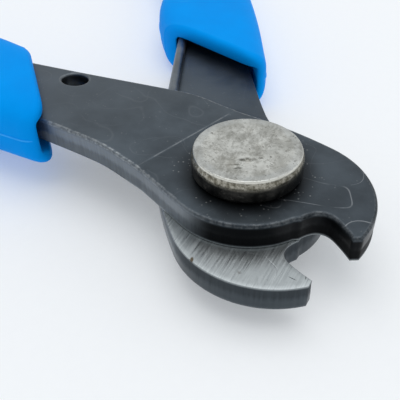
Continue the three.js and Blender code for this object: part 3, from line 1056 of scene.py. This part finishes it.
def ground_steel(n, position, settings, nicks):
    """Bare ground steel and its height: fine parallel lines, some crossed, with stains, rusty nicks and
    nicks of painted shade.
    """
    strokes = n.noise(position, 7000.0, 2.0, 0.6, lengths=(26.0, 1.0, 8.0), turn=GRIND_TURN)
    crossing = n.noise(position, 6000.0, 2.0, 0.6, lengths=(20.0, 1.0, 8.0), turn=GRIND_TURN + 0.5)
    patches = n.noise(position, 520.0, 5.0, 0.6)
    grinding = n.mix_value(n.span(patches, 0.5, 0.6, 0.0, 0.4), strokes, crossing)
    stain = n.span(n.noise(position, 420.0, 5.0, 0.6), 0.64, 0.74)
    bare = n.mix_color(n.span(grinding, 0.33, 0.67), settings.bare_dark, settings.bare_light)
    bare = n.mix_color(n.span(patches, 0.35, 0.65, 0.0, 0.35), bare, settings.bare_dark)
    bare = n.mix_color(n.product(stain, 0.5), bare, (0.10, 0.075, 0.05))
    # Rusty nicks, and nicks of painted shade that the mesh doesn't dent
    for centre, size, turn, tone in nicks:
        nick = n.product(n.spot(position, centre, size, turn), n.span(patches, 0.3, 0.5, 0.4, 1.0))
        bare = n.mix_color(nick, bare, tone)
    return bare, grinding


def black_oxide_steel(name, settings, jaw_wall_tone_and_shade, nicks=()):
    """Blanked plate with a satin black-oxide skin, bare where it is ground, bright along worn edges and
    the crease, partly as painted highlight, with painted shade in the arm's hole and on the jaws' walls.
    """
    material, n, position = new_material(name)
    forward = n.add("ShaderNodeSeparateXYZ", {"Vector": position}).outputs["X"]
    edge, across, wall = (value_of(n, label) for label in ("edge_mm", "across", "wall"))
    flat = n.inverse(wall)
    ground = n.product(value_of(n, "ground"), flat)
    grain_inputs = {"Position": position, "Cloud Scale": 170.0, "Speck Scale": 2600.0, "Speck Cover": 0.24}
    grain = n.group(grain_group(), grain_inputs)
    marks = handling_marks(n, position, flat, forward)
    skin = n.mix_color(marks, oxide_skin(n, position, grain, forward, settings), (0.31, 0.33, 0.35))
    lines = n.noise(position, 3200.0, 3.0, 0.6, lengths=(1.0, 1.0, 14.0))
    torn = n.inverse(n.span(n.math("ADD", across, n.product(lines, 0.25)), 0.5, 0.78))
    color = n.mix_color(wall, skin, sheared_wall(n, lines, torn, forward, jaw_wall_tone_and_shade))
    bare, grinding = ground_steel(n, position, settings, nicks)
    color = n.mix_color(ground, color, bare)
    # Worn edges with painted highlight, but not around the arm's hole, whose walls get painted shade
    wear_and_highlight_inputs = {
        "Position": position,
        "Distance": edge,
        "Reach": settings.wear_reach / MM,
        "Breaks": 2600.0,
        "Cover": settings.wear_cover,
    }
    wear = n.group(wear_and_highlight_group(), wear_and_highlight_inputs)
    hole_shade = n.spot(position, (*hole_centre(), UPPER_BLADE_Z + BLADE_THICKNESS), (2.6, 2.6, 4.0))
    worn = n.product(wear["Mask"], n.span(across, 0.7, 0.9), n.inverse(hole_shade))
    # More bright edge on the arm than at the jaw, partly painted highlight
    worn = n.product(worn, n.mix_value(n.span(forward, -8 * MM, 4 * MM), 0.42, 0.12))
    color = n.mix_color(worn, color, (0.42, 0.44, 0.45))
    # Painted shade on the walls inside the arm's hole
    color = n.mix_color(n.product(hole_shade, wall, 0.9), color, (0.012, 0.013, 0.015))
    # Painted highlight: a thin bright line along the crease's step on the outer face
    crease_highlight = n.fade(n.math("ABSOLUTE", value_of(n, "crease_mm")), 0.08)
    crease_breaks = n.span(n.noise(position, 500.0, 4.0, 0.6), 0.4, 0.62, 0.05, 0.5)
    color = n.mix_color(n.product(crease_highlight, flat, across, crease_breaks), color, (0.3, 0.31, 0.32))
    roughness = n.span(grain["Cloud"], 0.3, 0.7, settings.roughness - 0.05, settings.roughness + 0.07)
    roughness = n.mix_value(wall, roughness, n.mix_value(torn, 0.34, 0.62))
    roughness = n.mix_value(ground, roughness, n.span(grinding, 0.25, 0.75, 0.26, 0.46))
    roughness = n.mix_value(worn, roughness, 0.3)
    fine = n.product(grain["Height"], n.mix_value(wall, 0.35, 0.0))
    coarse = n.product(lines, wall, n.mix_value(torn, 0.5, 1.3))
    height = n.math("ADD", n.math("ADD", fine, coarse), n.product(grinding, ground, 0.45))
    height = n.math("SUBTRACT", height, n.product(marks, 0.8))
    normal = n.bump(height, 0.5, 0.03 * MM)
    surface = {"Base Color": color, "Roughness": roughness, "Normal": normal, "Metallic": 0.92}
    finish_material(n, surface)
    return material


def struck_face(n, position, grain, smears, settings):
    """The rivet's struck faces: mottled, smeared and pitted, polished near the rim, with bruises."""
    face = n.mix_color(n.span(grain["Cloud"], 0.32, 0.66), settings.face_dark, settings.face_light)
    face = n.mix_color(n.product(n.span(smears, 0.5, 0.68), 0.6), face, (0.20, 0.195, 0.165))
    mottle = n.noise(position, 2600.0, 4.0, 0.72)
    face = n.mix_color(n.product(n.span(mottle, 0.48, 0.64), 0.55), face, (0.26, 0.255, 0.225))
    polished = n.span(n.pivot_distance(position), 4.2 * MM, 4.7 * MM)
    polished = n.product(polished, n.span(smears, 0.3, 0.6, 0.75, 0.25))
    face = n.mix_color(polished, face, (0.56, 0.58, 0.57))
    face = n.mix_color(n.product(grain["Specks"], 0.75), face, (0.08, 0.075, 0.06))
    for centre, size in BRUISES:
        bruise = n.spot(position, (*centre, UPPER_HEAD_TOP), size, BRUISE_TURN)
        face = n.mix_color(n.product(bruise, n.span(mottle, 0.35, 0.55, 0.35, 0.95)), face, BRUISE_SHADE)
    return face


def struck_steel(name, settings):
    """Bare rivet steel: mottled, pitted face, a brownish worked rim, painted highlights on its edges and a
    side painted near-black as a dark reflection.
    """
    material, n, position = new_material(name)
    grain_inputs = {"Position": position, "Cloud Scale": 520.0, "Speck Scale": 2300.0, "Speck Cover": 0.33}
    grain = n.group(grain_group(), grain_inputs)
    # Depth from the nearer of the two struck faces
    height_up = n.add("ShaderNodeSeparateXYZ", {"Vector": position}).outputs["Z"]
    below = n.math("MINIMUM", n.math("SUBTRACT", UPPER_HEAD_TOP * MM, height_up), height_up)
    smears = n.noise(position, 520.0, 6.0, 0.68, lengths=(1.7, 0.8, 1.0), turn=-0.9)
    face = struck_face(n, position, grain, smears, settings)
    rim_share = n.span(n.noise(position, 2200.0, 4.0, 0.75), 0.38, 0.62)
    rim = n.mix_color(rim_share, (0.13, 0.12, 0.09), (0.42, 0.40, 0.34))
    # The side is painted near-black: a painted dark reflection of the blade round it
    side_share = n.span(grain["Cloud"], 0.32, 0.66)
    side = n.mix_color(side_share, (0.03, 0.029, 0.027), (0.11, 0.105, 0.095))
    color = n.mix_color(n.span(below, 0.08 * MM, 0.3 * MM), face, rim)
    uneven = n.math("ADD", below, n.product(grain["Cloud"], 0.6 * MM))
    color = n.mix_color(n.span(uneven, 0.9 * MM, 1.5 * MM), color, side)
    # Painted highlights: a bright ring on the rounded edge, and a fainter one where the rim meets the side
    ring = n.product(n.span(below, 0.02 * MM, 0.08 * MM), n.inverse(n.span(below, 0.14 * MM, 0.26 * MM)))
    color = n.mix_color(n.product(ring, 0.85), color, (0.8, 0.78, 0.7))
    seam = n.fade(n.math("ABSOLUTE", n.math("SUBTRACT", below, 0.98 * MM)), 0.07 * MM)
    color = n.mix_color(n.product(seam, 0.6), color, (0.22, 0.2, 0.16))
    roughness = n.span(grain["Cloud"], 0.3, 0.7, settings.roughness - 0.06, settings.roughness + 0.1)
    height = n.math("SUBTRACT", grain["Height"], n.product(grain["Specks"], 0.8))
    height = n.math("ADD", height, n.product(smears, 1.2))
    normal = n.bump(height, 0.75, 0.05 * MM)
    surface = {"Base Color": color, "Roughness": roughness, "Normal": normal, "Metallic": 1.0}
    finish_material(n, surface)
    return material


def spring_wire(name, settings):
    """Drawn wire, dark with faint dull patches."""
    material, n, position = new_material(name)
    grain = n.group(grain_group(), {"Position": position, "Cloud Scale": 400.0})
    rubbed = n.span(n.noise(position, 160.0, 5.0, 0.6), 0.55, 0.7)
    color = n.mix_color(n.span(grain["Cloud"], 0.3, 0.7), settings.wire_dark, settings.wire_light)
    color = n.mix_color(n.product(rubbed, 0.5), color, (0.3, 0.31, 0.32))
    roughness = n.span(grain["Cloud"], 0.3, 0.7, 0.34, 0.5)
    normal = n.bump(grain["Height"], 0.4, 0.02 * MM)
    surface = {"Base Color": color, "Roughness": roughness, "Normal": normal, "Metallic": 0.95}
    finish_material(n, surface)
    return material


def blue_vinyl(name, settings, deep, bright):
    """Satin slip-on vinyl: an even skin with faint ripples, soft scuffs and fine pores."""
    material, n, position = new_material(name)
    grain_inputs = {"Position": position, "Cloud Scale": 60.0, "Speck Scale": 3800.0, "Speck Cover": 0.2}
    grain = n.group(grain_group(), grain_inputs)
    scuff_inputs = {"Position": position, "Scale": 55.0, "Width": 0.006, "Cover": 0.42}
    scuffs = n.group(scratch_group(), scuff_inputs)
    color = n.mix_color(n.span(grain["Cloud"], 0.3, 0.7), deep, bright)
    color = n.mix_color(n.product(scuffs["Mask"], 0.18), color, (0.12, 0.42, 0.85))
    color = n.mix_color(n.product(grain["Specks"], 0.2), color, (0.0, 0.07, 0.3))
    roughness = n.span(grain["Cloud"], 0.3, 0.7, settings.roughness - 0.05, settings.roughness + 0.08)
    ripples = n.noise(position, 240.0, 3.0, 0.5)
    height = n.math("ADD", n.product(grain["Height"], 0.35), n.product(ripples, 0.8))
    normal = n.bump(height, 0.35, 0.06 * MM)
    surface = {"Base Color": color, "Roughness": roughness, "Normal": normal, "Specular IOR Level": 0.02}
    finish_material(n, surface)
    return material


def pale_floor(name, settings):
    """Pale matt floor that gives off a little light of its own."""
    material, n, position = new_material(name)
    tooth = n.span(n.noise(position, 900.0, 4.0, 0.6), 0.3, 0.7)
    lighter = tuple(min(1.0, c * 1.01) for c in settings.floor_color)
    surface = {
        "Base Color": n.mix_color(tooth, settings.floor_color, lighter),
        "Roughness": 0.7,
        "Specular IOR Level": 0.1,
        "Emission Color": (0.93, 0.965, 1.0, 1.0),
        "Emission Strength": 0.26,
    }
    finish_material(n, surface)
    return material


# ---------------------------------------------------------------- settings


def length_setting(name, description, millimetres):
    return bpy.props.FloatProperty(
        name=name,
        description=description,
        default=millimetres * MM,
        min=0.0,
        subtype="DISTANCE",
        unit="LENGTH",
        precision=5,
    )


def color_setting(name, description, color):
    return bpy.props.FloatVectorProperty(
        name=name, description=description, default=color, size=3, min=0.0, max=1.0, subtype="COLOR"
    )


def number_setting(name, description, value, least, **more):
    return bpy.props.FloatProperty(name=name, description=description, default=value, min=least, **more)


def share_setting(name, description, value):
    return number_setting(name, description, value, 0.0, max=1.0, subtype="FACTOR")


class BladeSettings(bpy.types.PropertyGroup):
    outer_round: length_setting("Outer Edge Rounding", "Radius rolled onto the outer edge", 0.27)
    inner_round: length_setting("Inner Edge Rounding", "Radius left on the cutting side", 0.06)
    wall_rows: bpy.props.IntProperty(
        name="Wall Rows", description="Rows of faces up the sheared wall", default=9, min=3
    )
    # Wear Reach and Wear Cover size the bright edges, which are partly real wear and partly painted
    # highlight
    wear_reach: length_setting("Wear Reach", "How far bright wear comes in from an edge", 0.22)
    wear_cover: share_setting("Wear Cover", "How much of the edges is worn bright", 0.5)
    roughness: share_setting("Roughness", "Roughness of the black-oxide skin", 0.42)
    oxide_dark: color_setting("Oxide Dark", "Darker clouds of the black oxide", (0.092, 0.112, 0.131))
    oxide_light: color_setting("Oxide Light", "Lighter clouds of the black oxide", (0.118, 0.141, 0.163))
    bare_dark: color_setting("Bare Dark", "Darker lines of the ground steel", (0.43, 0.465, 0.475))
    bare_light: color_setting("Bare Light", "Lighter lines of the ground steel", (0.54, 0.58, 0.59))


class RivetSettings(bpy.types.PropertyGroup):
    roughness: share_setting("Roughness", "Roughness of the struck face", 0.36)
    face_dark: color_setting("Face Dark", "Darker mottling of the struck face", (0.47, 0.47, 0.43))
    face_light: color_setting("Face Light", "Lighter mottling of the struck face", (0.70, 0.705, 0.665))


class SpringSettings(bpy.types.PropertyGroup):
    wire_radius: length_setting("Wire Radius", "Radius of the spring wire", 0.65)
    bend_radius: length_setting("Bend Radius", "Centreline radius of the hairpin bend", 1.5)
    wire_dark: color_setting("Wire Dark", "Darker patches of the wire", (0.14, 0.16, 0.178))
    wire_light: color_setting("Wire Light", "Lighter patches of the wire", (0.22, 0.245, 0.265))


class GripSettings(bpy.types.PropertyGroup):
    half_thickness: length_setting("Half Thickness", "Half the grip's height", 4.2)
    squareness: number_setting("Squareness", "Power of the section's squared oval", 3.6, 2.0)
    seam_radius: length_setting("Seam Radius", "Radius of the raised mould line", 0.11)
    roughness: share_setting("Roughness", "Roughness of the vinyl", 0.5)
    vinyl_deep: color_setting("Vinyl Deep", "Deeper blue of the vinyl", (0.0, 0.285, 0.85))
    vinyl_bright: color_setting("Vinyl Bright", "Brighter blue of the vinyl", (0.0, 0.335, 0.94))
    # Brighter blue of the mould line: a painted highlight on the raised bead
    line_highlight: color_setting("Line Bright", "Brightest blue of the mould line", (0.10, 0.50, 1.0))


class StageSettings(bpy.types.PropertyGroup):
    floor_color: color_setting("Floor Colour", "Colour of the pale floor", (0.71, 0.722, 0.732))
    sky_strength: number_setting("Sky Strength", "Strength of the even light all round", 0.66, 0.0)
    softbox_power: number_setting(
        "Softbox Power", "Power of the large overhead light, in watts", 3.5, 0.0, unit="POWER"
    )
    lens: number_setting("Lens", "Focal length of the camera in millimetres", 54.0, 1.0)


# ---------------------------------------------------------------- operators


def mount(piece, body, node):
    """Rides the piece on its body, in place of its CAD node."""
    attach(piece, body)
    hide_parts(node)


class SHEARS_OT_blades(bpy.types.Operator):
    """Builds both blades from one blank, the lower one rolled over"""

    bl_idname = "shears.build_blades"
    bl_label = "Build Blades"

    def execute(self, context):
        settings = context.scene.shears_blades
        sizes = (settings.outer_round / MM, settings.inner_round / MM, settings.wall_rows)
        upper = add_piece(
            "upper_blade_plate",
            blade_mesh("upper_blade_plate", UPPER, True, *sizes),
            black_oxide_steel("Upper Blade Steel", settings, UPPER_JAW_WALL_TONE_AND_SHADE),
        )
        lower = add_piece(
            "lower_blade_plate",
            blade_mesh("lower_blade_plate", LOWER, False, *sizes),
            black_oxide_steel("Lower Blade Steel", settings, LOWER_JAW_WALL_TONE_AND_SHADE, JAW_NICKS),
        )
        mount(upper, UPPER, "upper_blade")
        mount(lower, LOWER, "lower_blade")
        return {"FINISHED"}


class SHEARS_OT_rivet(bpy.types.Operator):
    """Builds the pivot rivet with its struck upper head"""

    bl_idname = "shears.build_rivet"
    bl_label = "Build Rivet"

    def execute(self, context):
        material = struck_steel("Struck Rivet Steel", context.scene.shears_rivet)
        rivet = add_piece("pivot_rivet_turned", rivet_mesh("pivot_rivet_turned"), material)
        mount(rivet, LOWER, "pivot_rivet")
        return {"FINISHED"}


class SHEARS_OT_spring(bpy.types.Operator):
    """Sweeps the hairpin return spring between the arms"""

    bl_idname = "shears.build_spring"
    bl_label = "Build Return Spring"

    def execute(self, context):
        settings = context.scene.shears_spring
        points = hairpin_points(settings.bend_radius / MM)
        material = spring_wire("Spring Wire", settings)
        mesh = swept_mesh("return_spring_wire", points, settings.wire_radius, 0.2 * MM, 24, material)
        spring = add_piece("return_spring_wire", mesh)
        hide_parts("return_spring")
        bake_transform(spring)
        return {"FINISHED"}


class SHEARS_OT_grips(bpy.types.Operator):
    """Builds the two slip-on grips and their raised mould lines"""

    bl_idname = "shears.build_grips"
    bl_label = "Build Grips"

    def execute(self, context):
        settings = context.scene.shears_grips
        material = blue_vinyl("Blue Vinyl", settings, settings.vinyl_deep, settings.vinyl_bright)
        # The mould line's brighter blue is a painted highlight on the raised bead
        line_colors = settings.vinyl_bright, settings.line_highlight
        line_material = blue_vinyl("Mould Line Vinyl", settings, *line_colors)
        for half, node in ((UPPER, "upper_grip"), (LOWER, "lower_grip")):
            name = node + "_sleeve"
            mesh = grip_mesh(name, half, settings.half_thickness / MM, settings.squareness, 96, 150)
            sleeve = add_piece(name, mesh, material)
            context.view_layer.update()
            points = seam_points(sleeve, half)
            mount(sleeve, half, node)
            seam = swept_mesh(node + "_seam", points, settings.seam_radius, 0.4 * MM, 8, line_material)
            seam_piece = add_piece(node + "_seam", seam)
            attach(seam_piece, half)
        return {"FINISHED"}


class SHEARS_OT_stage(bpy.types.Operator):
    """Lays the pale floor and sets the camera and the soft studio light"""

    bl_idname = "shears.build_stage"
    bl_label = "Build Stage"

    def execute(self, context):
        settings = context.scene.shears_stage
        reach, drop = 3.0, 0.02 * MM
        corners = [(-reach, -reach), (reach, -reach), (reach, reach), (-reach, reach)]
        mesh = bpy.data.meshes.new("pale_floor")
        mesh.from_pydata([(x, y, -drop) for x, y in corners], [], [(0, 1, 2, 3)])
        floor = add_piece("pale_floor", mesh, pale_floor("Pale Floor", settings))
        self.add_camera(context, settings)
        self.add_lights(context, settings)
        context.scene.view_settings.view_transform = "Standard"
        return {"FINISHED"}

    def add_camera(self, context, settings):
        camera = bpy.data.cameras.new("Camera")
        camera.lens = settings.lens
        camera.sensor_width = CAMERA_SENSOR
        camera.clip_start = 0.001
        camera.clip_end = 20.0
        viewer = bpy.data.objects.new("Camera", camera)
        context.scene.collection.objects.link(viewer)
        right, up = Vector(CAMERA_RIGHT), Vector(CAMERA_UP)
        back = right.cross(up)
        turned = Matrix((right, up, back)).transposed().to_4x4()
        viewer.matrix_world = Matrix.Translation(Vector(CAMERA_PLACE) * MM) @ turned
        context.scene.camera = viewer

    def add_lights(self, context, settings):
        world = bpy.data.worlds.new("Even Sky")
        world.use_nodes = True
        sky = world.node_tree.nodes["Background"]
        sky.inputs["Color"].default_value = (0.95, 0.975, 1.0, 1.0)
        sky.inputs["Strength"].default_value = settings.sky_strength
        context.scene.world = world
        for name, place, size, share in SOFTBOXES:
            light = bpy.data.lights.new(name, "AREA")
            light.shape = "SQUARE"
            light.size = size
            light.energy = settings.softbox_power * share
            lamp = bpy.data.objects.new(name, light)
            context.scene.collection.objects.link(lamp)
            lamp.location = place
            lamp.rotation_mode = "QUATERNION"
            lamp.rotation_quaternion = (-Vector(place)).to_track_quat("-Z", "Y")


class SHEARS_PT_panel(bpy.types.Panel):
    """Lists the shears' pieces with their sizes and colours"""

    bl_label = "Bypass Hard-Wire Shears"
    bl_idname = "SHEARS_PT_panel"
    bl_space_type = "VIEW_3D"
    bl_region_type = "UI"
    bl_category = "Shears"

    def draw(self, context):
        for operator, setting in STEPS:
            box = self.layout.box()
            box.operator(operator.bl_idname)
            group = getattr(context.scene, setting)
            for name in group.__annotations__:
                box.prop(group, name)


STEPS = (
    (SHEARS_OT_stage, "shears_stage"),
    (SHEARS_OT_blades, "shears_blades"),
    (SHEARS_OT_rivet, "shears_rivet"),
    (SHEARS_OT_spring, "shears_spring"),
    (SHEARS_OT_grips, "shears_grips"),
)
SETTINGS = (
    (StageSettings, "shears_stage"),
    (BladeSettings, "shears_blades"),
    (RivetSettings, "shears_rivet"),
    (SpringSettings, "shears_spring"),
    (GripSettings, "shears_grips"),
)


def register():
    for group, name in SETTINGS:
        bpy.utils.register_class(group)
        setattr(bpy.types.Scene, name, bpy.props.PointerProperty(type=group))
    for operator, _ in STEPS:
        bpy.utils.register_class(operator)
    bpy.utils.register_class(SHEARS_PT_panel)


def unregister():
    bpy.utils.unregister_class(SHEARS_PT_panel)
    for operator, _ in reversed(STEPS):
        bpy.utils.unregister_class(operator)
    for group, name in reversed(SETTINGS):
        delattr(bpy.types.Scene, name)
        bpy.utils.unregister_class(group)


def main():
    register()
    for operator, _ in STEPS:
        category, action = operator.bl_idname.split(".")
        getattr(getattr(bpy.ops, category), action)()


if __name__ == "__main__":
    main()
